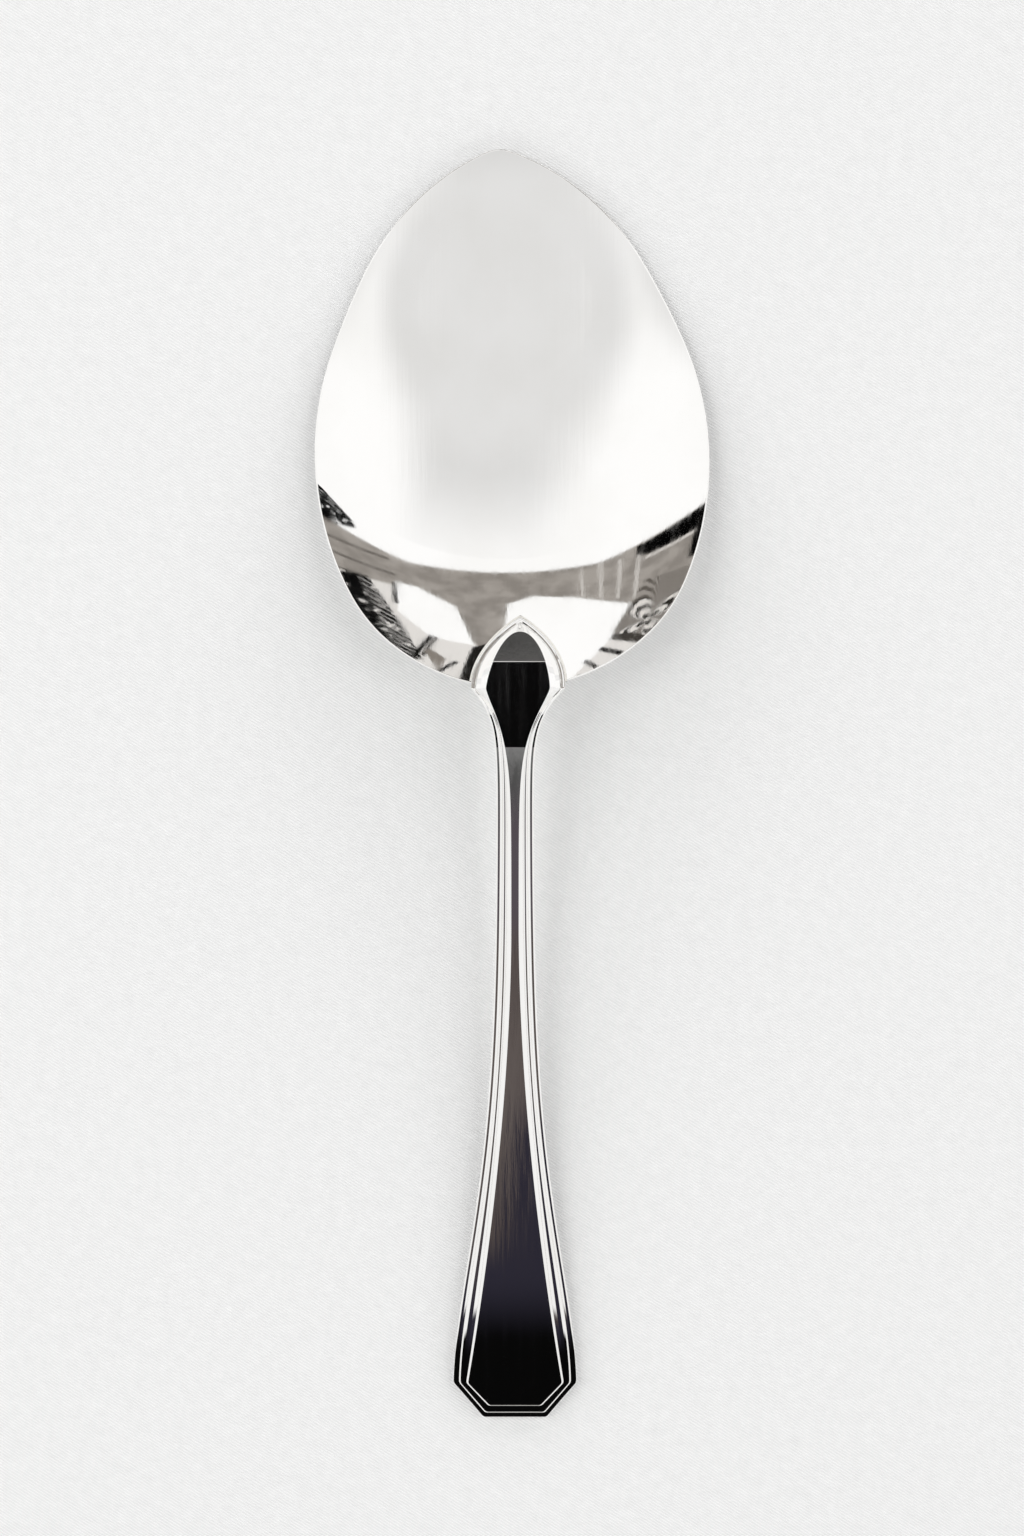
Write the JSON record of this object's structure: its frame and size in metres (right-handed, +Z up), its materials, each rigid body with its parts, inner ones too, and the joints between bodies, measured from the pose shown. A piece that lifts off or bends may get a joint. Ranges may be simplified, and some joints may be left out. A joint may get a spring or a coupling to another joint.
{
  "type": "serving spoon",
  "caption": "One-metal serving spoon with a broad, shallow, pointed-oval blade, a raised heel and a stepped handle with an octagonal end, brazed at a spade-shaped tongue.",
  "frame": {"origin": "middle of the spoon's bounding box in plan, at the plane that it rests on", "axes": "+Y from the handle's end to the blade's tip, +Z up out of the blade's dish, +X to the right seen from above"},
  "size_m": [0.0746, 0.24, 0.0162],
  "materials": {
    "silver_plate": "polished",
    "silver_solder": "satin"
  },
  "bodies": {
    "root": {"blade": "silver_plate", "handle": "silver_plate", "braze_joint": "silver_solder"}
  },
  "joints": []
}
